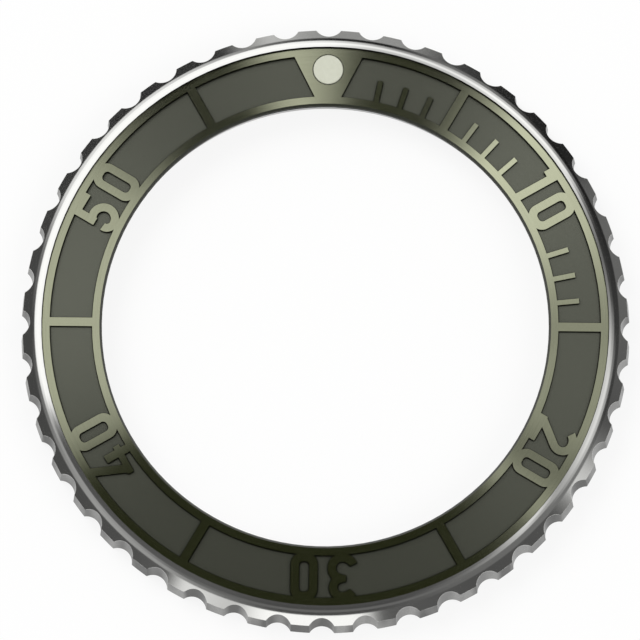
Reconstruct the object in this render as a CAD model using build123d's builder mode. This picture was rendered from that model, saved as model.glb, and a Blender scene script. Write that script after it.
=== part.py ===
from build123d import *
from math import asin, atan2, cos, degrees, hypot, radians, sin
import os

os.makedirs("parts", exist_ok=True)

# Rotating bezel of a dive watch, lying flat. Z is its axis of rotation, 12 o'clock is at +Y,
# and Z = 0 is the face of the fixed seat ring that lies on the watch case. Millimetres.

# The insert, which everything else is fitted to
insert_hole_radius = 14.98
insert_bevel_width = 0.15
insert_bevel_height = 0.20
inner_band_width = 0.48
window_width = 2.86
outer_band_width = 0.51
frame_thickness = 0.25
plate_thickness = 0.25
adhesive_thickness = 0.05
adhesive_margin = 0.18

# The toothed steel ring
rim_gap = 0.03
rim_width = 0.63
rim_stand = 0.21
rim_fall = 0.27
rim_bulge = 0.035
shoulder_width = 0.66
shoulder_drop = 0.49
wall_flare = 0.19
grip_count = 44
grip_depth = 0.47
grip_radius = 0.98
edge_break = 0.03
web_thickness = 0.35
web_reveal = 0.10
skirt_inset = 0.06
foot_bevel = 0.08

# The fixed seat, its seal, its glide ring and its retaining wire
bore_step = 0.37
bore_lead_in = 0.10
gland_wall = 0.25
gland_width = 0.48
cord_diameter = 0.45
seal_gap = 0.02
glide_lip_width = 0.12
glide_width = 0.37
glide_thickness = 0.18
glide_side_gap = 0.03
glide_gap = 0.04
foot_gap = 0.10
running_gap = 0.05
deck_gap = 0.05
groove_land = 0.48
wire_diameter = 0.40
wire_gap = 0.03
wire_split_degrees = 14

# The ratchet and its three clicks
ratchet_height = 0.35
tooth_count = 120
tooth_depth = 0.25
tooth_gap = 0.03
beak_gap = 0.12
beak_share = 0.85
key_count = 6
key_radius = 0.25
click_count = 3
first_click_degrees = 90
click_arc_degrees = 10
click_arm_offset = 0.20
click_arm_width = 0.40
click_arm_gap = 0.25
click_boss_radius = 0.50
click_float = 0.03
click_headroom = 0.08
pin_radius = 0.25
pin_gap = 0.03
pin_floor = 0.30

# The click springs and their screws
leaf_thickness = 0.10
leaf_touch_gap = 0.02
leaf_arc_degrees = 9.2
leaf_overlap_degrees = 1.2
leaf_foot_radius = 0.48
leaf_foot_thickness = 0.10
leaf_tongue_length = 1.00
leaf_tongue_width = 0.40
screw_head_radius = 0.40
screw_head_height = 0.20
screw_shank_radius = 0.22
screw_floor = 0.35
screw_slot_width = 0.12
screw_slot_depth = 0.10
screw_slot_degrees = 45

# The minute scale: a numeral at every tenth minute, a bar halfway between two numerals, and ticks
# in the first quarter where no numeral or lug reaches
minute_count = 60
numeral_step_count = 10
ticked_minute_count = 15
numeral_reach_count = 2
bar_width = 0.58
tick_width = 0.33
tick_length = 1.47
digit_width = 1.78
digit_space = 0.64
digit_sink = 0.14
stroke = 0.54
bar_stroke = 0.44
zero_end_flat = 0.30
zero_hole_end_flat = 0.14
one_width = 0.91
one_space = 0.79
ten_shift = 0.13
lug_top_width = 4.72
lug_bottom_width = 1.66

# Places on the centreline of a digit's stroke, as shares of its width and height
two_shares = ((-0.08, 0.85), (0.50, 1.0), (1.0, 0.77), (0.85, 0.58), (-0.06, 0.02))
three_shares = ((-0.17, 0.88), (0.40, 1.0), (0.40, 0.54), (0.40, 0.0), (-0.19, 0.17))
three_bar_shares = ((0.20, 0.54), (0.40, 0.54))
four_slope_shares = ((0.62, 1.10), (-0.16, 0.21))
four_bar_shares = ((-0.45, 0.18), (1.22, 0.18))
four_stem_shares = ((0.81, -0.15), (0.81, 0.58))
five_bowl_shares = ((0.0, 0.56), (0.37, 0.59), (0.37, 0.0), (-0.03, 0.21))
five_stem_shares = ((0.0, 0.44), (0.0, 1.10))

# The luminous pip
pip_radius = 1.00
pip_cup_wall = 0.07
pip_cup_floor = 0.08
pip_lume_depth = 0.28
pip_dome = 0.05
pip_dome_edge = 0.06

# Radii that follow, from the hole outwards
frame_flat_radius = insert_hole_radius + insert_bevel_width
window_inner_radius = frame_flat_radius + inner_band_width
window_outer_radius = window_inner_radius + window_width
insert_radius = window_outer_radius + outer_band_width
recess_radius = insert_radius + rim_gap
shoulder_radius = recess_radius + rim_width
tip_radius = shoulder_radius + shoulder_width
foot_radius = tip_radius + wall_flare
web_radius = insert_hole_radius + web_reveal
skirt_radius = recess_radius - skirt_inset
seat_radius = skirt_radius - running_gap
bore_radius = insert_hole_radius + bore_step
gland_inner_radius = bore_radius + gland_wall
gland_outer_radius = gland_inner_radius + gland_width
glide_inner_radius = gland_outer_radius + glide_lip_width
hub_radius = glide_inner_radius + glide_width
pivot_radius = hub_radius + click_headroom + click_boss_radius
arm_inner_radius = pivot_radius + click_arm_offset
arm_outer_radius = arm_inner_radius + click_arm_width
tooth_radius = arm_outer_radius + click_arm_gap
root_radius = tooth_radius + tooth_depth
wire_radius = (skirt_radius + seat_radius) / 2
wire_room = wire_diameter / 2 + wire_gap
pip_hole_radius = pip_radius + pip_cup_wall
pip_middle = window_outer_radius - pip_radius

# Heights that follow, from the rest face upwards
foot_z = foot_gap
wire_z = foot_z + groove_land + wire_room
deck_z = wire_z + wire_room + groove_land
ratchet_z = deck_z + deck_gap
web_z = ratchet_z + ratchet_height
recess_z = web_z + web_thickness
adhesive_top_z = recess_z + adhesive_thickness
plate_top_z = adhesive_top_z + plate_thickness
insert_top_z = plate_top_z + frame_thickness
crown_z = insert_top_z + rim_stand
shoulder_z = crown_z - rim_fall
tip_z = shoulder_z - shoulder_drop
click_z = deck_z + click_float
click_top_z = web_z - click_headroom
pin_top_z = click_top_z + pin_gap
glide_top_z = web_z - glide_gap
glide_z = glide_top_z - glide_thickness
lip_z = (glide_z + glide_top_z) / 2
gland_floor_z = web_z - seal_gap - cord_diameter
pip_floor_z = adhesive_top_z + pip_cup_floor
pip_lume_z = pip_floor_z + pip_lume_depth


def polar(radius, angle):
    """The point at a radius and an angle in degrees, anticlockwise from +X."""
    return (radius * cos(radians(angle)), radius * sin(radians(angle)))


def turned(outline, mode=Mode.ADD):
    """A ring turned about the bezel's axis from its (radius, height) outline."""
    with BuildSketch(Plane.XZ, mode=Mode.PRIVATE) as section:
        with BuildLine():
            Polyline(*outline, close=True)
        make_face()
    revolve(section.sketch, axis=Axis.Z, mode=mode)


def flat_ring(inner, outer, bottom, top, mode=Mode.ADD):
    """A plain ring between two radii and two heights."""
    turned(((inner, bottom), (outer, bottom), (outer, top), (inner, top)), mode)


def dial_plane(minute):
    """The plane of one place on the minute scale: X runs clockwise and Y outwards."""
    turn = radians(minute * 360 / minute_count)
    return Plane(origin=(0, 0, plate_top_z), x_dir=(cos(turn), -sin(turn), 0), z_dir=(0, 0, 1))


def spoke_plane(radius, angle, height, turn=0):
    """A level plane at a radius and an angle, with X turned from the outward direction."""
    heading = radians(angle + turn)
    x, y = polar(radius, angle)
    return Plane(origin=(x, y, height), x_dir=(cos(heading), sin(heading), 0), z_dir=(0, 0, 1))


def save(piece, name):
    """Label a finished piece and write its file."""
    piece.part.label = name
    export_step(piece.part, f"parts/{name}.step")


# Toothed steel ring: a skirt round the seat, a web under the insert and a rim round it that falls
# outwards in a gentle arc. The grips are milled along the flared wall and out through the shoulder.
with BuildPart() as bezel_ring:
    with BuildSketch(Plane.XZ):
        with BuildLine():
            ThreePointArc(
                (shoulder_radius, shoulder_z),
                ((recess_radius + shoulder_radius) / 2, (crown_z + shoulder_z) / 2 + rim_bulge),
                (recess_radius, crown_z),
            )
            Polyline(
                (recess_radius, crown_z),
                (recess_radius, recess_z),
                (web_radius, recess_z),
                (web_radius, web_z),
                (skirt_radius, web_z),
                (skirt_radius, foot_z + foot_bevel),
                (skirt_radius + foot_bevel, foot_z),
                (foot_radius, foot_z),
                (tip_radius, tip_z),
                (shoulder_radius, shoulder_z),
            )
        make_face()
    revolve(axis=Axis.Z)
    wall_lean = degrees(atan2(wall_flare, tip_z - foot_z))
    grip_middle = (tip_radius + foot_radius) / 2 - grip_depth + grip_radius
    with Locations((0, 0, (foot_z + tip_z) / 2)):
        with PolarLocations(grip_middle, grip_count):
            Cylinder(grip_radius, crown_z * 2, rotation=(0, -wall_lean, 0), mode=Mode.SUBTRACT)
    grip_edges = [
        edge
        for edge in bezel_ring.edges()
        if min(hypot(spot.X, spot.Y) for spot in (edge @ 0, edge @ 0.5)) > shoulder_radius + edge_break / 2
    ]
    fillet(grip_edges, min(edge_break, grip_depth / 8))
    flat_ring(seat_radius, wire_radius + wire_room, wire_z - wire_room, wire_z + wire_room, Mode.SUBTRACT)
    with BuildSketch(Plane.XY.offset(ratchet_z)):
        with PolarLocations(skirt_radius, key_count):
            Circle(key_radius)
    extrude(amount=ratchet_height, mode=Mode.SUBTRACT)
save(bezel_ring, "bezel_ring")

# Adhesive ring that holds the insert down on the web.
with BuildPart() as insert_adhesive:
    tape_inner_radius = insert_hole_radius + adhesive_margin
    flat_ring(tape_inner_radius, insert_radius - adhesive_margin, recess_z, adhesive_top_z)
    with BuildSketch(Plane.XY.offset(recess_z)):
        with Locations((0, pip_middle)):
            Circle(pip_hole_radius)
    extrude(amount=adhesive_thickness, mode=Mode.SUBTRACT)
save(insert_adhesive, "insert_adhesive")

# Dark grained plate that shows as the floor of the windows.
with BuildPart() as insert_plate:
    flat_ring(insert_hole_radius, insert_radius, adhesive_top_z, plate_top_z)
    with BuildSketch(Plane.XY.offset(adhesive_top_z)):
        with Locations((0, pip_middle)):
            Circle(pip_hole_radius)
    extrude(amount=plate_thickness, mode=Mode.SUBTRACT)
save(insert_plate, "insert_plate")

# Digits stand straight on the scale, and their ends run a little way into both bands.
digit_bottom = window_inner_radius - digit_sink
digit_top = window_outer_radius + digit_sink
digit_height = digit_top - digit_bottom
digit_middle = (digit_bottom + digit_top) / 2


def spot(left, share):
    """A place on the centreline of a digit whose left edge is given."""
    across = stroke / 2 + share[0] * (digit_width - stroke)
    up = stroke / 2 + share[1] * (digit_height - stroke)
    return (left + across, digit_bottom + up)


def block(left, right, bottom, top):
    """An upright rectangle between its four sides."""
    with Locations(((left + right) / 2, (bottom + top) / 2)):
        Rectangle(right - left, top - bottom)


def line_stroke(left, shares, width=stroke):
    """A straight stroke through two places."""
    with BuildLine() as path:
        Line(spot(left, shares[0]), spot(left, shares[1]))
    trace(path.line, line_width=width)


def zero(left):
    hole_width = digit_width - 2 * stroke
    hole_height = digit_height - 2 * stroke
    with Locations((left + digit_width / 2, digit_middle)):
        RectangleRounded(digit_width, digit_height, (digit_width - zero_end_flat) / 2)
        hole_corner = (hole_width - zero_hole_end_flat) / 2
        RectangleRounded(hole_width, hole_height, hole_corner, mode=Mode.SUBTRACT)


def one(left):
    block(left + one_width - stroke, left + one_width, digit_bottom, digit_top)
    block(left, left + one_width, window_outer_radius - stroke, digit_top)


def two(left):
    hook, top, side, bend, foot = [spot(left, share) for share in two_shares]
    with BuildLine() as path:
        TangentArc(top, hook, tangent=(-1, 0))
        TangentArc(top, side, tangent=(1, 0))
        TangentArc(side, bend, tangent=(0, -1))
        Line(bend, foot)
    trace(path.line, line_width=stroke)
    block(left - stroke / 8, left + digit_width, digit_bottom - digit_sink, digit_bottom + stroke)


def three(left):
    upper_hook, top, waist, bottom, lower_hook = [spot(left, share) for share in three_shares]
    with BuildLine() as upper:
        TangentArc(top, upper_hook, tangent=(-1, 0))
        TangentArc(top, waist, tangent=(1, 0))
    trace(upper.line, line_width=stroke)
    with BuildLine() as lower:
        TangentArc(waist, bottom, tangent=(1, 0))
        TangentArc(bottom, lower_hook, tangent=(-1, 0))
    trace(lower.line, line_width=stroke)
    line_stroke(left, three_bar_shares, bar_stroke)


def four(left):
    line_stroke(left, four_slope_shares)
    line_stroke(left, four_bar_shares, bar_stroke)
    line_stroke(left, four_stem_shares)


def five(left):
    shoulder, top, bottom, hook = [spot(left, share) for share in five_bowl_shares]
    with BuildLine() as bowl:
        Line(shoulder, top)
        TangentArc(top, bottom, tangent=(1, 0))
        TangentArc(bottom, hook, tangent=(-1, 0))
    trace(bowl.line, line_width=stroke)
    line_stroke(left, five_stem_shares)
    block(left, left + digit_width - stroke / 4, digit_top - stroke, digit_top)


draw_digit = {"0": zero, "1": one, "2": two, "3": three, "4": four, "5": five}

# Openwork frame of the insert: two bands joined by bars, numerals and the lug that holds the pip.
with BuildPart() as insert_frame:
    turned(
        (
            (insert_hole_radius, plate_top_z),
            (window_inner_radius, plate_top_z),
            (window_inner_radius, insert_top_z),
            (frame_flat_radius, insert_top_z),
            (insert_hole_radius, insert_top_z - insert_bevel_height),
        )
    )
    flat_ring(window_outer_radius, insert_radius, plate_top_z, insert_top_z)
    for minute in range(numeral_step_count // 2, minute_count, numeral_step_count):
        with BuildSketch(dial_plane(minute)):
            block(-bar_width / 2, bar_width / 2, digit_bottom, digit_top)
        extrude(amount=frame_thickness)
    for minute in range(1, ticked_minute_count):
        past_numeral = minute % numeral_step_count
        to_numeral = min(past_numeral, numeral_step_count - past_numeral)
        if numeral_reach_count <= to_numeral < numeral_step_count / 2:
            with BuildSketch(dial_plane(minute)):
                block(-tick_width / 2, tick_width / 2, digit_bottom, window_inner_radius + tick_length)
            extrude(amount=frame_thickness)
    for minute in range(numeral_step_count, minute_count, numeral_step_count):
        first, second = str(minute)
        if first == "1":
            second_left = (one_width + one_space - digit_width) / 2 - ten_shift
            first_left = second_left - one_space - one_width
        else:
            second_left = digit_space / 2
            first_left = -second_left - digit_width
        with BuildSketch(dial_plane(minute)):
            draw_digit[first](first_left)
            draw_digit[second](second_left)
        extrude(amount=frame_thickness)
    with BuildSketch(dial_plane(0)):
        with BuildLine():
            Polyline(
                (-lug_bottom_width / 2, digit_bottom),
                (lug_bottom_width / 2, digit_bottom),
                (lug_top_width / 2, window_outer_radius),
                (lug_top_width / 2, digit_top),
                (-lug_top_width / 2, digit_top),
                (-lug_top_width / 2, window_outer_radius),
                close=True,
            )
        make_face()
    extrude(amount=frame_thickness)
    with BuildSketch(dial_plane(0)):
        with Locations((0, pip_middle)):
            Circle(pip_hole_radius)
    extrude(amount=frame_thickness, mode=Mode.SUBTRACT)
save(insert_frame, "insert_frame")

# Pressed metal cup of the pip, pushed through the insert down to the web.
with BuildPart() as pip_cup:
    with BuildSketch(Plane.XY.offset(recess_z)):
        with Locations((0, pip_middle)):
            Circle(pip_hole_radius)
    extrude(amount=insert_top_z - recess_z)
    with BuildSketch(Plane.XY.offset(pip_floor_z)):
        with Locations((0, pip_middle)):
            Circle(pip_radius)
    extrude(amount=insert_top_z - pip_floor_z, mode=Mode.SUBTRACT)
save(pip_cup, "pip_cup")

# Luminous filling in the cup.
with BuildPart() as pip_lume:
    with BuildSketch(Plane.XY.offset(pip_floor_z)):
        with Locations((0, pip_middle)):
            Circle(pip_radius)
    extrude(amount=pip_lume_depth)
save(pip_lume, "pip_lume")

# Clear cap over the filling, which stands a little proud of the frame.
with BuildPart() as pip_lens:
    with BuildSketch(Plane.XY.offset(pip_lume_z)):
        with Locations((0, pip_middle)):
            Circle(pip_radius)
    extrude(amount=insert_top_z + pip_dome - pip_lume_z)
    fillet(pip_lens.edges().sort_by(Axis.Z)[-1], pip_dome_edge)
save(pip_lens, "pip_lens")

# Ratchet ring pressed up inside the skirt, its teeth pointing inwards: each has a radial face
# that a click locks against, and a long slope that lifts the click when the bezel turns on.
tooth_degrees = 360 / tooth_count
beak_gap_degrees = degrees(beak_gap / root_radius)
with BuildPart() as ratchet_ring:
    teeth = []
    for tooth in range(tooth_count):
        face_angle = first_click_degrees + beak_gap_degrees + tooth * tooth_degrees
        teeth.append(polar(tooth_radius, face_angle))
        teeth.append(polar(root_radius, face_angle + tooth_degrees))
    with BuildSketch(Plane.XY.offset(ratchet_z)):
        Circle(skirt_radius)
        with BuildLine():
            Polyline(*teeth, close=True)
        make_face(mode=Mode.SUBTRACT)
        with PolarLocations(skirt_radius, key_count):
            Circle(key_radius, mode=Mode.SUBTRACT)
    extrude(amount=ratchet_height)
save(ratchet_ring, "ratchet_ring")

# Round keys driven in half and half across the joint, which stop the ratchet ring turning.
with BuildPart() as ratchet_keys:
    with BuildSketch(Plane.XY.offset(ratchet_z)):
        with PolarLocations(skirt_radius, key_count):
            Circle(key_radius)
    extrude(amount=ratchet_height)
save(ratchet_keys, "ratchet_keys")

click_angles = [first_click_degrees + place * 360 / click_count for place in range(click_count)]
pivot_angles = [angle - click_arc_degrees for angle in click_angles]
screw_angles = [angle + leaf_arc_degrees for angle in click_angles]

# Fixed seat ring, pressed on the neck of the watch case. Its hub carries the seal and the glide
# ring, its deck the clicks, and its edge the inner half of the retaining groove.
with BuildPart() as seat_ring:
    turned(
        (
            (bore_radius + bore_lead_in, 0),
            (seat_radius - bore_lead_in, 0),
            (seat_radius, bore_lead_in),
            (seat_radius, deck_z),
            (hub_radius, deck_z),
            (hub_radius, glide_z),
            (glide_inner_radius, glide_z),
            (glide_inner_radius, lip_z),
            (gland_outer_radius, lip_z),
            (gland_outer_radius, gland_floor_z),
            (gland_inner_radius, gland_floor_z),
            (gland_inner_radius, lip_z),
            (bore_radius, lip_z),
            (bore_radius, bore_lead_in),
        )
    )
    flat_ring(wire_radius - wire_room, skirt_radius, wire_z - wire_room, wire_z + wire_room, Mode.SUBTRACT)
    with BuildSketch(Plane.XY.offset(pin_floor)):
        with Locations(*[polar(pivot_radius, angle) for angle in pivot_angles]):
            Circle(pin_radius)
    extrude(amount=deck_z - pin_floor, mode=Mode.SUBTRACT)
    with BuildSketch(Plane.XY.offset(screw_floor)):
        with Locations(*[polar(pivot_radius, angle) for angle in screw_angles]):
            Circle(screw_shank_radius)
    extrude(amount=deck_z - screw_floor, mode=Mode.SUBTRACT)
save(seat_ring, "seat_ring")

# Slippery plastic ring that the web rides on.
with BuildPart() as glide_ring:
    flat_ring(glide_inner_radius + glide_side_gap, hub_radius - glide_side_gap, glide_z, glide_top_z)
save(glide_ring, "glide_ring")

# Rubber cord in the gland, which seals against the web and gives the bezel its drag.
with BuildPart() as drag_seal:
    with BuildSketch(Plane.XZ):
        with Locations(((gland_inner_radius + gland_outer_radius) / 2, gland_floor_z + cord_diameter / 2)):
            Circle(cord_diameter / 2)
    revolve(axis=Axis.Z)
save(drag_seal, "drag_seal")

# Sprung wire ring, split at 6 o'clock, half in the seat's groove and half in the skirt's.
with BuildPart() as retaining_wire:
    wire_start = radians(wire_split_degrees / 2 - 90)
    wire_plane = Plane(
        origin=(0, 0, 0),
        x_dir=(cos(wire_start), sin(wire_start), 0),
        z_dir=(sin(wire_start), -cos(wire_start), 0),
    )
    with BuildSketch(wire_plane):
        with Locations((wire_radius, wire_z)):
            Circle(wire_diameter / 2)
    revolve(axis=Axis.Z, revolution_arc=360 - wire_split_degrees)
save(retaining_wire, "retaining_wire")

# Pins that the clicks pivot on, driven into the deck.
with BuildPart() as click_pins:
    with BuildSketch(Plane.XY.offset(pin_floor)):
        with Locations(*[polar(pivot_radius, angle) for angle in pivot_angles]):
            Circle(pin_radius)
    extrude(amount=pin_top_z - pin_floor)
save(click_pins, "click_pins")

# Slotted cheese-head screws that hold the click springs.
with BuildPart() as click_spring_screws:
    head_z = deck_z + leaf_foot_thickness
    head_top_z = head_z + screw_head_height
    for angle in screw_angles:
        with BuildSketch(spoke_plane(pivot_radius, angle, screw_floor)):
            Circle(screw_shank_radius)
        extrude(amount=head_z - screw_floor)
        with BuildSketch(spoke_plane(pivot_radius, angle, head_z)):
            Circle(screw_head_radius)
        extrude(amount=screw_head_height)
        with BuildSketch(spoke_plane(pivot_radius, angle, head_top_z, screw_slot_degrees)):
            Rectangle(screw_head_radius * 3, screw_slot_width)
        extrude(amount=-screw_slot_depth, mode=Mode.SUBTRACT)
save(click_spring_screws, "click_spring_screws")

# The beak's outer edge follows the slope of the tooth gap that it stands in.
beak_radius = root_radius - tooth_gap - tooth_depth * beak_gap_degrees / tooth_degrees
beak_heel_radius = beak_radius - tooth_depth * beak_share

for place in range(click_count):
    beak = click_angles[place]
    pivot = pivot_angles[place]
    heel = beak - tooth_degrees * beak_share
    arm_end = heel - tooth_degrees / 2

    # Click: an arm round the hub, from its boss to the beak that drops between two teeth.
    with BuildPart() as click_lever:
        with BuildSketch(Plane.XY.offset(click_z)):
            with BuildLine():
                ThreePointArc(
                    polar(arm_inner_radius, pivot),
                    polar(arm_inner_radius, (pivot + beak) / 2),
                    polar(arm_inner_radius, beak),
                )
                Polyline(
                    polar(arm_inner_radius, beak),
                    polar(beak_radius, beak),
                    polar(beak_heel_radius, heel),
                    polar(arm_outer_radius, arm_end),
                )
                ThreePointArc(
                    polar(arm_outer_radius, arm_end),
                    polar(arm_outer_radius, (pivot + arm_end) / 2),
                    polar(arm_outer_radius, pivot),
                )
                Line(polar(arm_outer_radius, pivot), polar(arm_inner_radius, pivot))
            make_face()
            with Locations(polar(pivot_radius, pivot)):
                Circle(click_boss_radius)
                Circle(pin_radius + pin_gap, mode=Mode.SUBTRACT)
        extrude(amount=click_top_z - click_z)
    save(click_lever, f"click_lever_{place + 1}")

    # Leaf spring: a foot under its screw, and an upright leaf that presses on the back of the beak.
    with BuildPart() as click_spring:
        screw_angle = screw_angles[place]
        foot_x, foot_y = polar(pivot_radius, screw_angle)
        touch_radius = arm_inner_radius - leaf_touch_gap - leaf_thickness / 2
        touch_x, touch_y = polar(touch_radius, beak - leaf_overlap_degrees)
        leaf_turn = degrees(atan2(touch_y - foot_y, touch_x - foot_x)) - screw_angle
        leaf_start = screw_head_radius + leaf_thickness
        leaf_length = hypot(touch_x - foot_x, touch_y - foot_y) - leaf_start
        with BuildSketch(spoke_plane(pivot_radius, screw_angle, deck_z, leaf_turn)):
            Circle(leaf_foot_radius)
            Rectangle(leaf_tongue_length, leaf_tongue_width, align=(Align.MIN, Align.CENTER))
            Circle(screw_shank_radius, mode=Mode.SUBTRACT)
        extrude(amount=leaf_foot_thickness)
        with BuildSketch(spoke_plane(pivot_radius, screw_angle, deck_z, leaf_turn)):
            with Locations((leaf_start, 0)):
                Rectangle(leaf_length, leaf_thickness, align=(Align.MIN, Align.CENTER))
        extrude(amount=click_top_z - deck_z)
    save(click_spring, f"click_spring_{place + 1}")

lift_degrees = degrees(asin((tooth_depth + tooth_gap) / (pivot_radius * sin(radians(click_arc_degrees)))))
print("click pivots:", [polar(pivot_radius, angle) for angle in pivot_angles])
print("a click is clear of the teeth from", round(lift_degrees, 2), "degrees")
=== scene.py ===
from math import pi, radians

import bmesh
import bpy
from mathutils import Matrix, Vector


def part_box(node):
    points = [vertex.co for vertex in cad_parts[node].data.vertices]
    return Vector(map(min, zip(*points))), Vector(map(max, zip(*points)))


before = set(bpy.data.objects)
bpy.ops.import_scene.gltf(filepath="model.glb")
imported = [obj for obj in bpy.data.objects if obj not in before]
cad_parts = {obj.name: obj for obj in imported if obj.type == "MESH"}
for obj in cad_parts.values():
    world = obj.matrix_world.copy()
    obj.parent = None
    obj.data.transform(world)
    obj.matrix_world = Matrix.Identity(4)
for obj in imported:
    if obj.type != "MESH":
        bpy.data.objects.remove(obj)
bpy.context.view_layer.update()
mm = 0.001

# Toothed ring of the bezel: 316L stainless steel, turned and milled, then polished on top. The rim
# and the shoulder are bright, the grips keep the cutter's upright marks and are duller in places,
# and the recess, the web, the skirt and the underside keep their lathe marks. It snaps on the seat.
steel_hex = "E2E2DF"
turned_steel_hex = "B9B9B7"
milled_steel_hex = "CCCCCA"
milled_steel_low_hex = "B4B4B2"
dulled_steel_hex = "6E6E6C"
glancing_hex = "BEBEBE"
# Real scratches and tool marks are finer: here and in the finishes below they are drawn as coarse
# as they need to be to show.
lathe_mark_width = 0.05 * mm
polish_scratch_width = 0.03 * mm
milling_mark_width = 0.03 * mm
milling_stretch = (1, 1, 0.02)
blotch_width = 1.6 * mm
blotch_span = (0.62, 0.38)
# Most of a noise lies between these two, here and in the finishes below.
noise_low = 0.3
noise_high = 0.7
polished_roughness = (0.07, 0.13)
milled_roughness = (0.18, 0.26)
turned_roughness = (0.24, 0.42)
plate_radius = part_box("insert_plate")[1].x
insert_gap = 0.03 * mm
recess_radius = plate_radius + insert_gap / 2
recess_edge = 0.008 * mm
rim_inner_radius = plate_radius + insert_gap
rim_width = 0.63 * mm
# A slope is how far a surface falls for each step outwards. A facing is the upright part of its
# normal, given where a finish starts and where it is full.
rim_inner_slope = 0.2209
rim_outer_slope = 0.6730
shoulder_slope = 0.7424
shoulder_round = 0.11 * mm
rim_facing = 0.75
wall_facing = (0.65, 0.45)
underside_facing = (-0.45, -0.65)
# Lines round the axis follow each other this much more closely up a wall than across a face.
height_share = 1.7


def tone(code):
    """An sRGB hex colour as the linear colour that a shader takes."""
    parts = [int(code[place:place + 2], 16) / 255 for place in (0, 2, 4)]
    linear = [
        part / 12.92 if part <= 0.04045 else ((part + 0.055) / 1.055) ** 2.4 for part in parts
    ]
    return linear + [1.0]


def add(tree, kind, settings=None, inputs=None, stops=()):
    """Add one node with its own settings, its sockets' values or links, and a ramp's stops."""
    node = tree.nodes.new(kind)
    for name, value in (settings or {}).items():
        setattr(node, name, value)
    for name, value in (inputs or {}).items():
        if isinstance(value, bpy.types.NodeSocket):
            tree.links.new(value, node.inputs[name])
        else:
            node.inputs[name].default_value = value
    for place, (position, colour) in enumerate(stops):
        elements = node.color_ramp.elements
        stop = elements[place] if place < 2 else elements.new(position)
        stop.position = position
        stop.color = colour
    return node


def new_finish(name):
    """An empty material with its node tree and its main shader."""
    material = bpy.data.materials.new(name)
    material.use_nodes = True
    return material, material.node_tree, material.node_tree.nodes["Principled BSDF"]


def dress(node_name, material):
    """Give a CAD node its finish, smooth inside each of its faces."""
    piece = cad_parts[node_name]
    piece.data.materials.clear()
    piece.data.materials.append(material)
    for face in piece.data.polygons:
        face.use_smooth = True


def round_axis(tree, cells_round, width):
    """Coordinates drawn out round the bezel's axis, as a lathe or a brush leaves its lines.

    Returns the coordinates for a noise, the radius in metres and the outward direction."""
    place = add(tree, "ShaderNodeTexCoord").outputs["Object"]
    flat = add(
        tree,
        "ShaderNodeVectorMath",
        {"operation": "MULTIPLY"},
        {0: place, 1: (1, 1, 0)},
    ).outputs[0]
    radius = add(tree, "ShaderNodeVectorMath", {"operation": "LENGTH"}, {0: flat}).outputs["Value"]
    outward = add(tree, "ShaderNodeVectorMath", {"operation": "NORMALIZE"}, {0: flat}).outputs[0]
    height = add(tree, "ShaderNodeSeparateXYZ", {}, {0: place}).outputs["Z"]
    across = add(
        tree,
        "ShaderNodeMath",
        {"operation": "MULTIPLY_ADD"},
        {0: height, 1: height_share, 2: radius},
    ).outputs[0]
    across = add(tree, "ShaderNodeMath", {"operation": "DIVIDE"}, {0: across, 1: width}).outputs[0]
    across = add(tree, "ShaderNodeCombineXYZ", {}, {"Z": across}).outputs[0]
    spread = add(
        tree,
        "ShaderNodeVectorMath",
        {"operation": "SCALE"},
        {0: outward, "Scale": cells_round},
    ).outputs[0]
    lines = add(
        tree,
        "ShaderNodeVectorMath",
        {"operation": "ADD"},
        {0: spread, 1: across},
    ).outputs[0]
    return lines, radius, outward


def leaning(tree, outward, slope):
    """The level normal tipped outwards by a slope, and the world's outward direction."""
    level = add(
        tree,
        "ShaderNodeVectorTransform",
        {"vector_type": "VECTOR", "convert_from": "OBJECT", "convert_to": "WORLD"},
        {0: (0, 0, 1)},
    ).outputs[0]
    across = add(
        tree,
        "ShaderNodeVectorTransform",
        {"vector_type": "VECTOR", "convert_from": "OBJECT", "convert_to": "WORLD"},
        {0: outward},
    ).outputs[0]
    push = add(
        tree,
        "ShaderNodeVectorMath",
        {"operation": "SCALE"},
        {0: across, "Scale": slope},
    ).outputs[0]
    tipped = add(tree, "ShaderNodeVectorMath", {"operation": "ADD"}, {0: level, 1: push}).outputs[0]
    tipped = add(tree, "ShaderNodeVectorMath", {"operation": "NORMALIZE"}, {0: tipped}).outputs[0]
    return tipped, across


polished_steel, tree, shader = new_finish("polished_316L_steel")
lines, radius, outward = round_axis(tree, cells_round=9, width=lathe_mark_width)
marks = add(tree, "ShaderNodeTexNoise", {}, {"Vector": lines, "Scale": 1.0, "Detail": 3.0})
place = add(tree, "ShaderNodeTexCoord").outputs["Object"]
scratches = add(
    tree,
    "ShaderNodeTexNoise",
    {},
    {"Vector": place, "Scale": 1 / polish_scratch_width, "Detail": 4.0, "Roughness": 0.6},
)
inside = add(
    tree,
    "ShaderNodeMapRange",
    {},
    {
        "Value": radius,
        "From Min": recess_radius + recess_edge,
        "From Max": recess_radius - recess_edge,
    },
).outputs[0]
facing = add(tree, "ShaderNodeNewGeometry").outputs["True Normal"]
facing = add(tree, "ShaderNodeSeparateXYZ", {}, {0: facing}).outputs["Z"]
on_wall = add(
    tree,
    "ShaderNodeMapRange",
    {},
    {"Value": facing, "From Min": wall_facing[0], "From Max": wall_facing[1]},
).outputs[0]
beneath = add(
    tree,
    "ShaderNodeMapRange",
    {},
    {"Value": facing, "From Min": underside_facing[0], "From Max": underside_facing[1]},
).outputs[0]
turned = add(tree, "ShaderNodeMath", {"operation": "MAXIMUM"}, {0: inside, 1: beneath}).outputs[0]
drawn_up = add(
    tree,
    "ShaderNodeMapping",
    {},
    {"Vector": place, "Scale": milling_stretch},
).outputs[0]
milling = add(
    tree,
    "ShaderNodeTexNoise",
    {},
    {"Vector": drawn_up, "Scale": 1 / milling_mark_width, "Detail": 2.0},
).outputs["Fac"]
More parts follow.
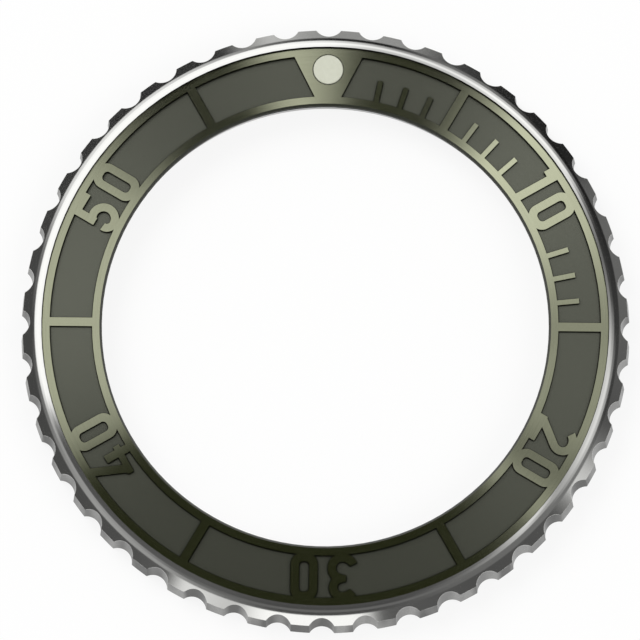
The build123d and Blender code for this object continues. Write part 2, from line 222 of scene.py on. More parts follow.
grip_colour = add(
    tree,
    "ShaderNodeValToRGB",
    {},
    {"Fac": milling},
    ((noise_low, tone(milled_steel_low_hex)), (noise_high, tone(milled_steel_hex))),
).outputs["Color"]
blotches = add(
    tree,
    "ShaderNodeTexNoise",
    {},
    {"Vector": drawn_up, "Scale": 1 / blotch_width, "Detail": 1.0},
).outputs["Fac"]
dulled = add(
    tree,
    "ShaderNodeMapRange",
    {},
    {"Value": blotches, "From Min": blotch_span[0], "From Max": blotch_span[1]},
).outputs[0]
grip_colour = add(
    tree,
    "ShaderNodeMix",
    {"data_type": "RGBA"},
    {0: dulled, 6: grip_colour, 7: tone(dulled_steel_hex)},
).outputs[2]
wear = add(
    tree,
    "ShaderNodeMapRange",
    {},
    {
        "Value": scratches.outputs["Fac"],
        "From Min": noise_low,
        "From Max": noise_high,
        "To Min": polished_roughness[0],
        "To Max": polished_roughness[1],
    },
).outputs[0]
cut = add(
    tree,
    "ShaderNodeMapRange",
    {},
    {
        "Value": milling,
        "From Min": noise_low,
        "From Max": noise_high,
        "To Min": milled_roughness[0],
        "To Max": milled_roughness[1],
    },
).outputs[0]
lathe = add(
    tree,
    "ShaderNodeMapRange",
    {},
    {
        "Value": marks.outputs["Fac"],
        "From Min": noise_low,
        "From Max": noise_high,
        "To Min": turned_roughness[0],
        "To Max": turned_roughness[1],
    },
).outputs[0]
roughness = add(tree, "ShaderNodeMix", {"data_type": "FLOAT"}, {0: on_wall, 2: wear, 3: cut})
roughness = add(
    tree,
    "ShaderNodeMix",
    {"data_type": "FLOAT"},
    {0: turned, 2: roughness.outputs[0], 3: lathe},
)
colour = add(
    tree,
    "ShaderNodeMix",
    {"data_type": "RGBA"},
    {0: on_wall, 6: tone(steel_hex), 7: grip_colour},
)
colour = add(
    tree,
    "ShaderNodeMix",
    {"data_type": "RGBA"},
    {0: turned, 6: colour.outputs[2], 7: tone(turned_steel_hex)},
)
# The rim is shaded as the arc that it was turned to, and its edge to the shoulder as rounded.
slope = add(
    tree,
    "ShaderNodeMapRange",
    {},
    {
        "Value": radius,
        "From Min": rim_inner_radius,
        "From Max": rim_inner_radius + rim_width,
        "To Min": rim_inner_slope,
        "To Max": rim_outer_slope,
    },
).outputs[0]
rounding = add(
    tree,
    "ShaderNodeMapRange",
    {},
    {
        "Value": radius,
        "From Min": rim_inner_radius + rim_width,
        "From Max": rim_inner_radius + rim_width + shoulder_round,
        "To Max": shoulder_slope - rim_outer_slope,
    },
).outputs[0]
slope = add(tree, "ShaderNodeMath", {"operation": "ADD"}, {0: slope, 1: rounding}).outputs[0]
arc = leaning(tree, outward, slope)[0]
on_rim = add(
    tree,
    "ShaderNodeMath",
    {"operation": "GREATER_THAN"},
    {0: facing, 1: rim_facing},
).outputs[0]
outside = add(tree, "ShaderNodeMath", {"operation": "SUBTRACT"}, {0: 1.0, 1: inside}).outputs[0]
on_rim = add(tree, "ShaderNodeMath", {"operation": "MULTIPLY"}, {0: on_rim, 1: outside}).outputs[0]
straight = add(tree, "ShaderNodeNewGeometry").outputs["Normal"]
arc = add(
    tree,
    "ShaderNodeMix",
    {"data_type": "VECTOR"},
    {0: on_rim, 4: straight, 5: arc},
).outputs[1]
depth = add(
    tree,
    "ShaderNodeMath",
    {"operation": "MULTIPLY"},
    {0: marks.outputs["Fac"], 1: turned},
).outputs[0]
bump = add(
    tree,
    "ShaderNodeBump",
    {},
    {"Height": depth, "Strength": 0.25, "Distance": 0.004 * mm, "Normal": arc},
)
tree.links.new(colour.outputs[2], shader.inputs["Base Color"])
tree.links.new(roughness.outputs[0], shader.inputs["Roughness"])
tree.links.new(bump.outputs[0], shader.inputs["Normal"])
shader.inputs["Metallic"].default_value = 1.0
shader.inputs["Specular Tint"].default_value = tone(glancing_hex)
dress("bezel_ring", polished_steel)

# Adhesive ring under the insert: a thin double-sided acrylic film, die-cut and pressed into the
# recess. Only its edge can be seen, through the ring's hole.
film_hex = "26272A"
film_low_hex = "1E1F22"
film_grain = 0.04 * mm
acrylic_film, tree, shader = new_finish("acrylic_film")
place = add(tree, "ShaderNodeTexCoord").outputs["Object"]
grain = add(
    tree,
    "ShaderNodeTexNoise",
    {},
    {"Vector": place, "Scale": 1 / film_grain, "Detail": 2.0},
).outputs["Fac"]
colour = add(
    tree,
    "ShaderNodeValToRGB",
    {},
    {"Fac": grain},
    ((noise_low, tone(film_low_hex)), (noise_high, tone(film_hex))),
).outputs["Color"]
bump = add(
    tree,
    "ShaderNodeBump",
    {},
    {"Height": grain, "Strength": 0.3, "Distance": 0.003 * mm},
).outputs[0]
tree.links.new(colour, shader.inputs["Base Color"])
tree.links.new(bump, shader.inputs["Normal"])
shader.inputs["Roughness"].default_value = 0.55
dress("insert_adhesive", acrylic_film)

# Plate of the insert: aluminium, faced on a lathe, blasted and anodised a dark warm grey, the floor
# of the windows. The facing cut leaves grooves whose long slopes lean outwards, so that the grey
# shifts softly round the ring, and painted shade darkens it along the walls of the frame above it.
plate_hex = "6D6F64"
plate_low_hex = "66685D"
plate_shadow_hex = "1B1C12"
blast_grain = 0.05 * mm
painted_shade_margin = 0.13 * mm
plate_groove_slope = 0.10
plate_cut_width = 0.06 * mm
plate_roughness = (0.24, 0.27)
painted_shade_span = (0.62, 0.95)
blasted_plate, tree, shader = new_finish("blasted_dark_anodised_aluminium")
lines, _, outward = round_axis(tree, cells_round=14, width=plate_cut_width)
brush = add(
    tree,
    "ShaderNodeTexNoise",
    {},
    {"Vector": lines, "Scale": 1.0, "Detail": 2.0},
).outputs["Fac"]
place = add(tree, "ShaderNodeTexCoord").outputs["Object"]
grain = add(
    tree,
    "ShaderNodeTexNoise",
    {},
    {"Vector": place, "Scale": 1 / blast_grain, "Detail": 3.0},
).outputs["Fac"]
dye = add(
    tree,
    "ShaderNodeValToRGB",
    {},
    {"Fac": grain},
    ((noise_low, tone(plate_low_hex)), (noise_high, tone(plate_hex))),
).outputs["Color"]
# Painted shade: the plate's colour goes to a near black olive where the frame's walls stand close.
open_sky = add(
    tree,
    "ShaderNodeAmbientOcclusion",
    {"samples": 12},
    {"Distance": painted_shade_margin},
).outputs["AO"]
open_sky = add(
    tree,
    "ShaderNodeMapRange",
    {"interpolation_type": "SMOOTHSTEP"},
    {"Value": open_sky, "From Min": painted_shade_span[0], "From Max": painted_shade_span[1]},
).outputs[0]
colour = add(
    tree,
    "ShaderNodeMix",
    {"data_type": "RGBA"},
    {0: open_sky, 6: tone(plate_shadow_hex), 7: dye},
).outputs[2]
slope, grooves = leaning(tree, outward, plate_groove_slope)
bump = add(
    tree,
    "ShaderNodeBump",
    {},
    {"Height": grain, "Strength": 0.12, "Distance": 0.002 * mm, "Normal": slope},
).outputs[0]
roughness = add(
    tree,
    "ShaderNodeMapRange",
    {},
    {
        "Value": brush,
        "From Min": noise_low,
        "From Max": noise_high,
        "To Min": plate_roughness[0],
        "To Max": plate_roughness[1],
    },
).outputs[0]
tree.links.new(colour, shader.inputs["Base Color"])
tree.links.new(roughness, shader.inputs["Roughness"])
tree.links.new(bump, shader.inputs["Normal"])
tree.links.new(grooves, shader.inputs["Tangent"])
shader.inputs["Metallic"].default_value = 0.75
shader.inputs["Anisotropic"].default_value = 0.6
dress("insert_plate", blasted_plate)

# Frame of the insert: aluminium, cut through for the windows, anodised olive, and then faced with a
# fine circular cut. The face is a pale khaki that flares in sectors, as its grooves lean outwards,
# and the bevel round the hole and the walls of the windows are dark olive: dye and painted shade.
face_hex = "C3C6AA"
face_low_hex = "B4B79B"
dye_and_shade_hex = "1D2010"
brush_line_width = 0.025 * mm
frame_groove_slope = 0.12
brush_low = 0.32
brush_high = 0.68
frame_roughness = (0.11, 0.13)
face_facing = (0.90, 0.97)
brushed_frame, tree, shader = new_finish("brushed_olive_anodised_aluminium")
lines, _, outward = round_axis(tree, cells_round=7, width=brush_line_width)
brush = add(
    tree,
    "ShaderNodeTexNoise",
    {},
    {"Vector": lines, "Scale": 1.0, "Detail": 4.0, "Roughness": 0.65},
).outputs["Fac"]
face_colour = add(
    tree,
    "ShaderNodeValToRGB",
    {},
    {"Fac": brush},
    ((brush_low, tone(face_low_hex)), (brush_high, tone(face_hex))),
).outputs["Color"]
upright = add(tree, "ShaderNodeNewGeometry").outputs["True Normal"]
upright = add(tree, "ShaderNodeSeparateXYZ", {}, {0: upright}).outputs["Z"]
on_face = add(
    tree,
    "ShaderNodeMapRange",
    {},
    {"Value": upright, "From Min": face_facing[0], "From Max": face_facing[1]},
).outputs[0]
# Off the face, the walls and the bevel take a dark olive that is partly the dye and partly painted
# shade.
colour = add(
    tree,
    "ShaderNodeMix",
    {"data_type": "RGBA"},
    {0: on_face, 6: tone(dye_and_shade_hex), 7: face_colour},
).outputs[2]
roughness = add(
    tree,
    "ShaderNodeMapRange",
    {},
    {
        "Value": brush,
        "From Min": noise_low,
        "From Max": noise_high,
        "To Min": frame_roughness[0],
        "To Max": frame_roughness[1],
    },
).outputs[0]
slope, grooves = leaning(tree, outward, frame_groove_slope)
straight = add(tree, "ShaderNodeNewGeometry").outputs["Normal"]
slope = add(
    tree,
    "ShaderNodeMix",
    {"data_type": "VECTOR"},
    {0: on_face, 4: straight, 5: slope},
).outputs[1]
bump = add(
    tree,
    "ShaderNodeBump",
    {},
    {"Height": brush, "Strength": 0.06, "Distance": 0.002 * mm, "Normal": slope},
).outputs[0]
tree.links.new(colour, shader.inputs["Base Color"])
tree.links.new(on_face, shader.inputs["Metallic"])
tree.links.new(roughness, shader.inputs["Roughness"])
tree.links.new(bump, shader.inputs["Normal"])
tree.links.new(grooves, shader.inputs["Tangent"])
shader.inputs["Anisotropic"].default_value = 0.8
dress("insert_frame", brushed_frame)

# Cup of the luminous pip: drawn nickel silver, pushed through the insert down to the ring's web.
# Only its lip shows, as a thin dark ring round the pip.
cup_hex = "8C8E7D"
cup_low_hex = "686A5B"
tarnish_width = 0.2 * mm
tarnish_low = 0.35
tarnish_high = 0.70
drawn_nickel, tree, shader = new_finish("drawn_nickel_silver")
place = add(tree, "ShaderNodeTexCoord").outputs["Object"]
tarnish = add(
    tree,
    "ShaderNodeTexNoise",
    {},
    {"Vector": place, "Scale": 1 / tarnish_width, "Detail": 3.0},
).outputs["Fac"]
colour = add(
    tree,
    "ShaderNodeValToRGB",
    {},
    {"Fac": tarnish},
    ((tarnish_low, tone(cup_low_hex)), (tarnish_high, tone(cup_hex))),
).outputs["Color"]
tree.links.new(colour, shader.inputs["Base Color"])
shader.inputs["Metallic"].default_value = 1.0
shader.inputs["Roughness"].default_value = 0.32
dress("pip_cup", drawn_nickel)

# Luminous filling of the pip: strontium aluminate powder in clear lacquer, poured and levelled.
# It is a pale green-cream by day, chalky, with a fine grain.
lume_hex = "DADCCD"
lume_low_hex = "D0D3C1"
lume_grain = 0.04 * mm
lume_paste, tree, shader = new_finish("luminous_lacquer")
place = add(tree, "ShaderNodeTexCoord").outputs["Object"]
grain = add(
    tree,
    "ShaderNodeTexNoise",
    {},
    {"Vector": place, "Scale": 1 / lume_grain, "Detail": 3.0},
).outputs["Fac"]
colour = add(
    tree,
    "ShaderNodeValToRGB",
    {},
    {"Fac": grain},
    ((noise_low, tone(lume_low_hex)), (noise_high, tone(lume_hex))),
).outputs["Color"]
bump = add(
    tree,
    "ShaderNodeBump",
    {},
    {"Height": grain, "Strength": 0.2, "Distance": 0.004 * mm},
).outputs[0]
tree.links.new(colour, shader.inputs["Base Color"])
tree.links.new(bump, shader.inputs["Normal"])
shader.inputs["Roughness"].default_value = 0.6
dress("pip_lume", lume_paste)

# Cap of the pip: a drop of epoxy that was cast over the filling and stands a little proud. It is
# glossy and milky with the paste that it is wet with, so the pip reads as one pale glossy dot.
milky_hex = "CED0C0"
milky_low_hex = "C8CAB9"
haze_width = 0.3 * mm
epoxy_roughness = (0.05, 0.10)
milky_epoxy, tree, shader = new_finish("milky_cast_epoxy")
place = add(tree, "ShaderNodeTexCoord").outputs["Object"]
haze = add(
    tree,
    "ShaderNodeTexNoise",
    {},
    {"Vector": place, "Scale": 1 / haze_width, "Detail": 2.0},
).outputs["Fac"]
colour = add(
    tree,
    "ShaderNodeValToRGB",
    {},
    {"Fac": haze},
    ((noise_low, tone(milky_low_hex)), (noise_high, tone(milky_hex))),
).outputs["Color"]
roughness = add(
    tree,
    "ShaderNodeMapRange",
    {},
    {
        "Value": haze,
        "From Min": noise_low,
        "From Max": noise_high,
        "To Min": epoxy_roughness[0],
        "To Max": epoxy_roughness[1],
    },
).outputs[0]
tree.links.new(colour, shader.inputs["Base Color"])
tree.links.new(roughness, shader.inputs["Roughness"])
dress("pip_lens", milky_epoxy)

# Ratchet ring and clicks: hardened carbon spring steel, stamped and tumbled, so that their faces
# are a soft grey with rounded bright spots. The ring is pressed up inside the skirt.
hardened_hex = "9A9A9C"
hardened_low_hex = "858588"
tumble_size = 0.12 * mm
tumbled_roughness = (0.28, 0.42)
tumbled_steel, tree, shader = new_finish("tumbled_hardened_steel")
place = add(tree, "ShaderNodeTexCoord").outputs["Object"]
dents = add(
    tree,
    "ShaderNodeTexNoise",
    {},
    {"Vector": place, "Scale": 1 / tumble_size, "Detail": 3.0},
).outputs["Fac"]
colour = add(
    tree,
    "ShaderNodeValToRGB",
    {},
    {"Fac": dents},
    ((noise_low, tone(hardened_low_hex)), (noise_high, tone(hardened_hex))),
).outputs["Color"]
roughness = add(
    tree,
    "ShaderNodeMapRange",
    {},
    {
        "Value": dents,
        "From Min": noise_low,
        "From Max": noise_high,
        "To Min": tumbled_roughness[0],
        "To Max": tumbled_roughness[1],
    },
).outputs[0]
bump = add(
    tree,
    "ShaderNodeBump",
    {},
    {"Height": dents, "Strength": 0.3, "Distance": 0.004 * mm},
).outputs[0]
tree.links.new(colour, shader.inputs["Base Color"])
tree.links.new(roughness, shader.inputs["Roughness"])
tree.links.new(bump, shader.inputs["Normal"])
shader.inputs["Metallic"].default_value = 1.0
for name in ("ratchet_ring", "click_lever_1", "click_lever_2", "click_lever_3"):
    dress(name, tumbled_steel)

# Keys of the ratchet ring and pivot pins of the clicks: centreless-ground pin steel, driven in.
# Grinding leaves them bright, with fine lines round each pin.
pin_hex = "C4C4C5"
pin_low_hex = "B0B0B2"
grind_line_width = 0.08 * mm
grind_stretch = (1, 1, 8)
ground_pin, tree, shader = new_finish("ground_pin_steel")
place = add(tree, "ShaderNodeTexCoord").outputs["Object"]
stretch = add(tree, "ShaderNodeMapping", {}, {"Vector": place, "Scale": grind_stretch}).outputs[0]
grind = add(
    tree,
    "ShaderNodeTexNoise",
    {},
    {"Vector": stretch, "Scale": 1 / grind_line_width, "Detail": 2.0},
).outputs["Fac"]
colour = add(
    tree,
    "ShaderNodeValToRGB",
    {},
    {"Fac": grind},
    ((noise_low, tone(pin_low_hex)), (noise_high, tone(pin_hex))),
).outputs["Color"]
tree.links.new(colour, shader.inputs["Base Color"])
shader.inputs["Metallic"].default_value = 1.0
shader.inputs["Roughness"].default_value = 0.22
for name in ("ratchet_keys", "click_pins"):
    dress(name, ground_pin)

# Seat ring: 316L stainless steel, turned all over and left as it came off the lathe, satin with
# fine rings. It is pressed on the neck of the watch case and carries the seal, the glide ring, the
# clicks and the wire.
seat_hex = "B4B4B3"
seat_low_hex = "9E9E9E"
seat_mark_width = 0.06 * mm
seat_roughness = (0.26, 0.40)
turned_seat, tree, shader = new_finish("turned_316L_steel")
lines = round_axis(tree, cells_round=6, width=seat_mark_width)[0]
marks = add(
    tree,
    "ShaderNodeTexNoise",
    {},
    {"Vector": lines, "Scale": 1.0, "Detail": 3.0},
).outputs["Fac"]
colour = add(
    tree,
    "ShaderNodeValToRGB",
    {},
    {"Fac": marks},
    ((noise_low, tone(seat_low_hex)), (noise_high, tone(seat_hex))),
).outputs["Color"]
roughness = add(
    tree,
    "ShaderNodeMapRange",
    {},
    {
        "Value": marks,
        "From Min": noise_low,
        "From Max": noise_high,
        "To Min": seat_roughness[0],
        "To Max": seat_roughness[1],
    },
).outputs[0]
bump = add(
    tree,
    "ShaderNodeBump",
    {},
    {"Height": marks, "Strength": 0.3, "Distance": 0.004 * mm},
).outputs[0]
tree.links.new(colour, shader.inputs["Base Color"])
tree.links.new(roughness, shader.inputs["Roughness"])
tree.links.new(bump, shader.inputs["Normal"])
shader.inputs["Metallic"].default_value = 1.0
dress("seat_ring", turned_seat)

# Glide ring: acetal, cut from tube, white and waxy. It lies on the hub of the seat ring behind a
# low lip, and the web of the bezel slides on it.
acetal_hex = "E6E5DE"
acetal_low_hex = "DAD9D1"
acetal_mark_width = 0.05 * mm
acetal_depth = (0.3 * mm, 0.3 * mm, 0.25 * mm)
acetal, tree, shader = new_finish("white_acetal")
lines = round_axis(tree, cells_round=10, width=acetal_mark_width)[0]
marks = add(
    tree,
    "ShaderNodeTexNoise",
    {},
    {"Vector": lines, "Scale": 1.0, "Detail": 2.0},
).outputs["Fac"]
colour = add(
    tree,
    "ShaderNodeValToRGB",
    {},
    {"Fac": marks},
    ((noise_low, tone(acetal_low_hex)), (noise_high, tone(acetal_hex))),
).outputs["Color"]
tree.links.new(colour, shader.inputs["Base Color"])
shader.inputs["Roughness"].default_value = 0.38
shader.inputs["Subsurface Weight"].default_value = 0.15
shader.inputs["Subsurface Radius"].default_value = acetal_depth
shader.inputs["Subsurface Scale"].default_value = 1.0
dress("glide_ring", acetal)

# Drag seal: a nitrile rubber O-ring, moulded, black, with a film of grease that gives it a soft
# shine. It lies in the seat's gland and rubs on the web.
nitrile_hex = "161617"
nitrile_low_hex = "101011"
grease_width = 0.5 * mm
grease_span = (0.35, 0.65)
greased_roughness = (0.25, 0.55)
nitrile, tree, shader = new_finish("greased_nitrile_rubber")
place = add(tree, "ShaderNodeTexCoord").outputs["Object"]
grease = add(
    tree,
    "ShaderNodeTexNoise",
    {},
    {"Vector": place, "Scale": 1 / grease_width, "Detail": 3.0},
).outputs["Fac"]
colour = add(
    tree,
    "ShaderNodeValToRGB",
    {},
    {"Fac": grease},
    ((noise_low, tone(nitrile_low_hex)), (noise_high, tone(nitrile_hex))),
).outputs["Color"]
roughness = add(
    tree,
    "ShaderNodeMapRange",
    {},
    {
        "Value": grease,
        "From Min": grease_span[0],
        "From Max": grease_span[1],
        "To Min": greased_roughness[0],
        "To Max": greased_roughness[1],
    },
).outputs[0]
tree.links.new(colour, shader.inputs["Base Color"])
tree.links.new(roughness, shader.inputs["Roughness"])
dress("drag_seal", nitrile)

# Retaining wire and click springs: stainless spring steel, cold-drawn and rolled, bright, with fine
# drawing lines. The wire snaps into two half grooves; each leaf presses on the back of a click.
spring_hex = "AFAFB2"
spring_low_hex = "98989B"
drawing_line_width = 0.03 * mm
drawn_roughness = (0.18, 0.30)
spring_steel, tree, shader = new_finish("cold_drawn_spring_steel")
lines = round_axis(tree, cells_round=5, width=drawing_line_width)[0]
drawing = add(
    tree,
    "ShaderNodeTexNoise",
    {},
    {"Vector": lines, "Scale": 1.0, "Detail": 3.0},
).outputs["Fac"]
colour = add(
    tree,
    "ShaderNodeValToRGB",
    {},
    {"Fac": drawing},
    ((noise_low, tone(spring_low_hex)), (noise_high, tone(spring_hex))),
).outputs["Color"]
roughness = add(
    tree,
    "ShaderNodeMapRange",
    {},
    {
        "Value": drawing,
        "From Min": noise_low,
        "From Max": noise_high,
        "To Min": drawn_roughness[0],
        "To Max": drawn_roughness[1],
    },
).outputs[0]
tree.links.new(colour, shader.inputs["Base Color"])
tree.links.new(roughness, shader.inputs["Roughness"])
shader.inputs["Metallic"].default_value = 1.0
for name in ("retaining_wire", "click_spring_1", "click_spring_2", "click_spring_3"):
    dress(name, spring_steel)

# Screws of the click springs: stainless cheese heads, turned and polished bright, with a straight
# slot. Each holds the foot of one leaf spring down on the seat ring.
screw_hex = "CECECD"
screw_low_hex = "BEBEBE"
polish_mark_width = 0.05 * mm
screw_roughness = (0.12, 0.22)
polished_screw, tree, shader = new_finish("polished_screw_steel")
place = add(tree, "ShaderNodeTexCoord").outputs["Object"]
polish = add(
    tree,
    "ShaderNodeTexNoise",
    {},
    {"Vector": place, "Scale": 1 / polish_mark_width, "Detail": 2.0},
).outputs["Fac"]
roughness = add(
    tree,
    "ShaderNodeMapRange",
    {},
    {
        "Value": polish,
        "From Min": noise_low,
        "From Max": noise_high,
        "To Min": screw_roughness[0],
        "To Max": screw_roughness[1],
    },
).outputs[0]
colour = add(
    tree,
    "ShaderNodeValToRGB",
    {},
    {"Fac": polish},
    ((noise_low, tone(screw_low_hex)), (noise_high, tone(screw_hex))),
).outputs["Color"]
tree.links.new(colour, shader.inputs["Base Color"])
tree.links.new(roughness, shader.inputs["Roughness"])
shader.inputs["Metallic"].default_value = 1.0
dress("click_spring_screws", polished_screw)

# Camera at the photograph's angle: almost straight above, leaning towards 6 o'clock, with a long
# lens, given in pixels. The middle of the insert's face lands on its pixel of the 640 x 640 frame.
camera_lean = radians(10.30)
camera_turn = radians(0.46)
camera_roll = radians(0.61)
camera_distance = 409.6 * mm
lens_px = 6117
image_px = 640
middle_px = (325.20, 324.34)
sensor_width = 36
insert_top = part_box("insert_frame")[1].z
px_at_insert = camera_distance / lens_px
camera_data = bpy.data.cameras.new("photograph_camera")
camera_data.sensor_width = sensor_width
camera_data.lens = sensor_width * lens_px / image_px
camera_data.clip_start = 10 * mm
camera_data.clip_end = 20.0
camera = bpy.data.objects.new("photograph_camera", camera_data)
camera.matrix_world = (
    Matrix.Translation((0, 0, insert_top))
    @ Matrix.Rotation(camera_lean, 4, "X")
    @ Matrix.Rotation(camera_turn, 4, "Y")
    @ Matrix.Rotation(camera_roll, 4, "Z")
    @ Matrix.Translation(
        (
            (image_px / 2 - middle_px[0]) * px_at_insert,
            (middle_px[1] - image_px / 2) * px_at_insert,
            camera_distance,
        )
    )
)
bpy.context.scene.collection.objects.link(camera)
bpy.context.scene.camera = camera

# Floor: a plain white sheet. The camera and the metal see it as the photograph's white ground, and
# a soft shadow stays on it.
floor_hex = "F4F4F3"
floor_half = 2.0
floor_drop = 0.01 * mm
shadow_share = 0.15
white_sheet, tree, shader = new_finish("white_sheet")
rays = add(tree, "ShaderNodeLightPath").outputs
seen = add(
    tree,
    "ShaderNodeMath",
    {"operation": "MAXIMUM"},
    {0: rays["Is Camera Ray"], 1: rays["Is Glossy Ray"]},
)
seen = add(
    tree,
    "ShaderNodeMath",
    {"operation": "MAXIMUM"},
    {0: seen.outputs[0], 1: rays["Is Transmission Ray"]},
)
lit = add(
    tree,
    "ShaderNodeMath",
    {"operation": "MULTIPLY"},
    {0: seen.outputs[0], 1: 1 - shadow_share},
).outputs[0]
glow = add(tree, "ShaderNodeEmission", {}, {"Color": (1, 1, 1, 1), "Strength": 1.0}).outputs[0]
shader.inputs["Base Color"].default_value = tone(floor_hex)
shader.inputs["Roughness"].default_value = 0.9
shader.inputs["Specular IOR Level"].default_value = 0.0
mix = add(tree, "ShaderNodeMixShader", {}, {0: lit, 1: shader.outputs[0], 2: glow}).outputs[0]
tree.links.new(mix, tree.nodes["Material Output"].inputs["Surface"])
sheet_mesh = bmesh.new()
bmesh.ops.create_grid(sheet_mesh, x_segments=1, y_segments=1, size=floor_half)
bmesh.ops.translate(sheet_mesh, vec=(0, 0, -floor_drop), verts=sheet_mesh.verts)
floor = bpy.data.objects.new("floor", bpy.data.meshes.new("floor"))
sheet_mesh.to_mesh(floor.data)
sheet_mesh.free()
floor.data.materials.append(white_sheet)
bpy.context.scene.collection.objects.link(floor)

# Light tent: a half globe of cloth over the object, which only the metal mirrors. Its panels are
# white, grey and deep olive, in tiers: the insert mirrors the top one, the rim the next four from
# its inner to its outer edge, the tops of the teeth the low one, and steep walls the hem.
tent_radius = 600 * mm
tent_segments = 96
# Degrees round the tent, clockwise from 12 o'clock, and how bright the cloth is there.
panels = {
    "top": (
        (0, 0.40), (5, 0.05), (9, 0.02), (16, 0.02), (25, 0.045), (33, 0.36), (42, 1.15),
        (50, 1.05), (66, 0.95), (78, 0.62), (88, 0.44), (101, 0.50), (112, 0.48), (123, 0.20),
        (131, 0.62), (136, 0.12), (146, 0.02), (238, 0.02), (246, 0.50), (256, 0.72), (285, 0.74),
        (300, 0.66), (312, 0.26), (319, 0.04), (325, 0.01), (340, 0.01), (346, 0.55), (351, 0.85),
        (360, 0.40),
    ),
    "rim_1": (
        (0, 1.15), (8, 0.70), (26, 0.70), (36, 1.05), (56, 1.00), (63, 0.40), (71, 0.14),
        (84, 0.35), (92, 0.75), (106, 0.80), (116, 0.70), (124, 0.35), (131, 0.95), (138, 0.60),
        (144, 0.20), (158, 0.09), (190, 0.09), (205, 0.12), (247, 0.09), (251, 0.22), (256, 1.25),
        (360, 1.25),
    ),
    "rim_2": (
        (0, 1.30), (10, 1.05), (24, 1.05), (34, 1.30), (46, 1.20), (52, 1.15), (59, 0.20),
        (66, 0.03), (80, 0.08), (90, 0.45), (97, 0.90), (112, 0.90), (120, 0.50), (128, 0.42),
        (134, 0.75), (140, 0.40), (150, 0.18), (164, 0.08), (190, 0.08), (206, 0.12), (238, 0.10),
        (248, 0.09), (253, 0.30), (258, 1.30), (360, 1.30),
    ),
    "rim_3": (
        (0, 0.95), (12, 0.35), (30, 0.80), (42, 0.65), (50, 0.30), (58, 0.03), (86, 0.05),
        (97, 0.35), (110, 0.70), (120, 0.40), (126, 0.18), (150, 0.17), (212, 0.16), (224, 0.36),
        (250, 0.38), (256, 0.60), (264, 1.25), (352, 1.25), (360, 0.95),
    ),
    "rim_4": (
        (0, 0.01), (10, 0.01), (20, 0.18), (30, 0.22), (38, 0.05), (45, 0.01), (60, 0.02),
        (90, 0.06), (102, 0.05), (112, 0.22), (150, 0.16), (170, 0.08), (190, 0.08), (200, 0.18),
        (214, 0.36), (234, 0.42), (252, 0.26), (264, 0.15), (276, 0.06), (292, 0.22), (302, 0.80),
        (316, 0.95), (330, 0.85), (340, 0.50), (350, 0.14), (360, 0.01),
    ),
    "low": (
        (0, 0.34), (12, 0.37), (16, 0.22), (21, 0.07), (29, 0.02), (49, 0.02), (53, 0.13),
        (62, 0.17), (72, 0.17), (102, 0.09), (108, 0.22), (112, 0.62), (117, 0.85), (120, 0.30),
        (124, 0.10), (143, 0.09), (168, 0.12), (172, 1.25), (193, 1.25), (199, 0.66), (211, 0.95),
        (215, 0.12), (225, 0.09), (262, 0.07), (290, 0.07), (307, 0.035), (330, 0.02), (342, 0.03),
        (346, 0.38), (350, 0.66), (355, 0.44), (360, 0.34),
    ),
    "hem": ((0, 0.02), (360, 0.02)),
}
# Degrees down from the tent's middle, where each tier starts to show and where it shows fully.
tier_edges = {
    "rim_1": (24, 26.5),
    "rim_2": (38, 42),
    "rim_3": (49, 53),
    "rim_4": (59, 62),
    "low": (71, 72.6),
    "hem": (84, 86),
}
olive_shade = (1.38, 1.52, 0.76)
olive_level = 0.02


def shade(level, tier):
    """The grey of a panel, or deep olive for the dark panels that the insert mirrors."""
    if tier == "top" and level <= olive_level:
        return [level * part for part in olive_shade] + [1]
    return [level, level, level, 1]


tent_cloth, tree, shader = new_finish("tent_cloth")
tree.nodes.remove(shader)
place = add(tree, "ShaderNodeTexCoord").outputs["Object"]
place = add(
    tree,
    "ShaderNodeMapping",
    {},
    {"Vector": place, "Rotation": (camera_lean, 0, 0)},
).outputs[0]
place = add(tree, "ShaderNodeVectorMath", {"operation": "NORMALIZE"}, {0: place}).outputs[0]
axes = add(tree, "ShaderNodeSeparateXYZ", {}, {0: place}).outputs
turn = add(
    tree,
    "ShaderNodeMath",
    {"operation": "ARCTAN2"},
    {0: axes["X"], 1: axes["Y"]},
).outputs[0]
turn = add(tree, "ShaderNodeMath", {"operation": "DIVIDE"}, {0: turn, 1: 2 * pi}).outputs[0]
turn = add(tree, "ShaderNodeMath", {"operation": "FRACT"}, {0: turn}).outputs[0]
fall = add(tree, "ShaderNodeMath", {"operation": "ARCCOSINE"}, {0: axes["Z"]}).outputs[0]
for tier, stops in panels.items():
    tone_round = add(
        tree,
        "ShaderNodeValToRGB",
        {},
        {"Fac": turn},
        [(degree / 360, shade(level, tier)) for degree, level in stops],
    ).outputs["Color"]
    if tier == "top":
        cloth = tone_round
    else:
        start, end = tier_edges[tier]
        below = add(
            tree,
            "ShaderNodeMapRange",
            {},
            {"Value": fall, "From Min": radians(start), "From Max": radians(end)},
        ).outputs[0]
        cloth = add(
            tree,
            "ShaderNodeMix",
            {"data_type": "RGBA"},
            {0: below, 6: cloth, 7: tone_round},
        ).outputs[2]
glow = add(tree, "ShaderNodeEmission", {}, {"Color": cloth, "Strength": 1.0}).outputs[0]
tree.links.new(glow, tree.nodes["Material Output"].inputs["Surface"])
tent_cloth.cycles.emission_sampling = "NONE"
tent_mesh = bmesh.new()
bmesh.ops.create_uvsphere(
    tent_mesh,
    u_segments=tent_segments,
    v_segments=tent_segments // 2,
    radius=tent_radius,
)
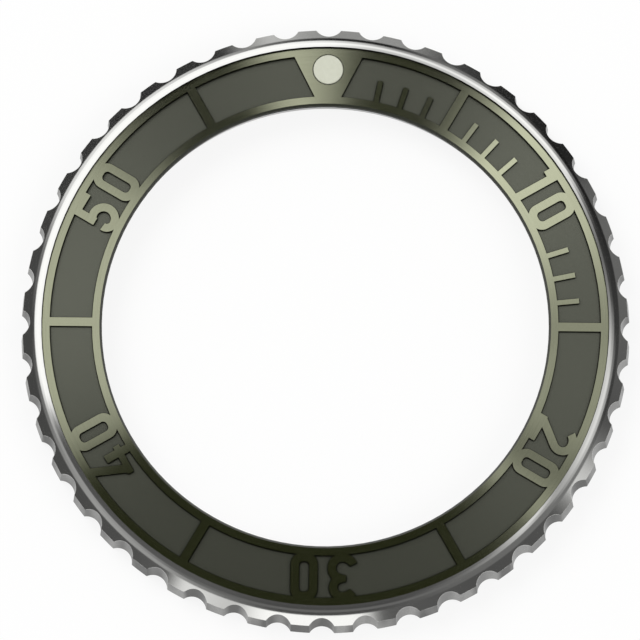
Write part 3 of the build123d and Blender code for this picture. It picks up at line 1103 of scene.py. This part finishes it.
bmesh.ops.bisect_plane(
    tent_mesh,
    geom=tent_mesh.verts[:] + tent_mesh.edges[:] + tent_mesh.faces[:],
    plane_co=(0, 0, 0),
    plane_no=(0, 0, 1),
    clear_inner=True,
)
tent = bpy.data.objects.new("light_tent", bpy.data.meshes.new("light_tent"))
tent_mesh.to_mesh(tent.data)
tent_mesh.free()
tent.data.materials.append(tent_cloth)
bpy.context.scene.collection.objects.link(tent)
tent.visible_camera = False
tent.visible_diffuse = False
tent.visible_shadow = False

# Lamps: one broad soft box above and to the left, and a weaker one opposite. The tent stands for
# both in the metal. Each has its place and width in metres and its power in watts.
lamp_places = (((-0.35, 0.30, 0.60), 0.5, 2.6), ((0.40, -0.20, 0.55), 0.5, 1.4))
for number, (spot, size, power) in enumerate(lamp_places, start=1):
    lamp_data = bpy.data.lights.new(f"soft_box_{number}", "AREA")
    lamp_data.shape = "DISK"
    lamp_data.size = size
    lamp_data.energy = power
    lamp = bpy.data.objects.new(f"soft_box_{number}", lamp_data)
    lamp.location = spot
    lamp.rotation_euler = (-Vector(spot)).to_track_quat("-Z", "Y").to_euler()
    lamp.visible_glossy = False
    bpy.context.scene.collection.objects.link(lamp)

# Room: white where the camera, polished metal or glass sees it, and a plain even light on the
# object. It stands behind the floor and the tent.
room_light = 0.55
world = bpy.data.worlds.new("white_room")
world.use_nodes = True
tree = world.node_tree
rays = add(tree, "ShaderNodeLightPath").outputs
seen = add(
    tree,
    "ShaderNodeMath",
    {"operation": "MAXIMUM"},
    {0: rays["Is Camera Ray"], 1: rays["Is Glossy Ray"]},
)
seen = add(
    tree,
    "ShaderNodeMath",
    {"operation": "MAXIMUM"},
    {0: seen.outputs[0], 1: rays["Is Transmission Ray"]},
)
strength = add(
    tree,
    "ShaderNodeMapRange",
    {},
    {"Value": seen.outputs[0], "To Min": room_light, "To Max": 1.0},
).outputs[0]
background = tree.nodes["Background"]
background.inputs["Color"].default_value = (1, 1, 1, 1)
tree.links.new(strength, background.inputs["Strength"])
bpy.context.scene.world = world
bpy.context.scene.view_settings.view_transform = "Standard"
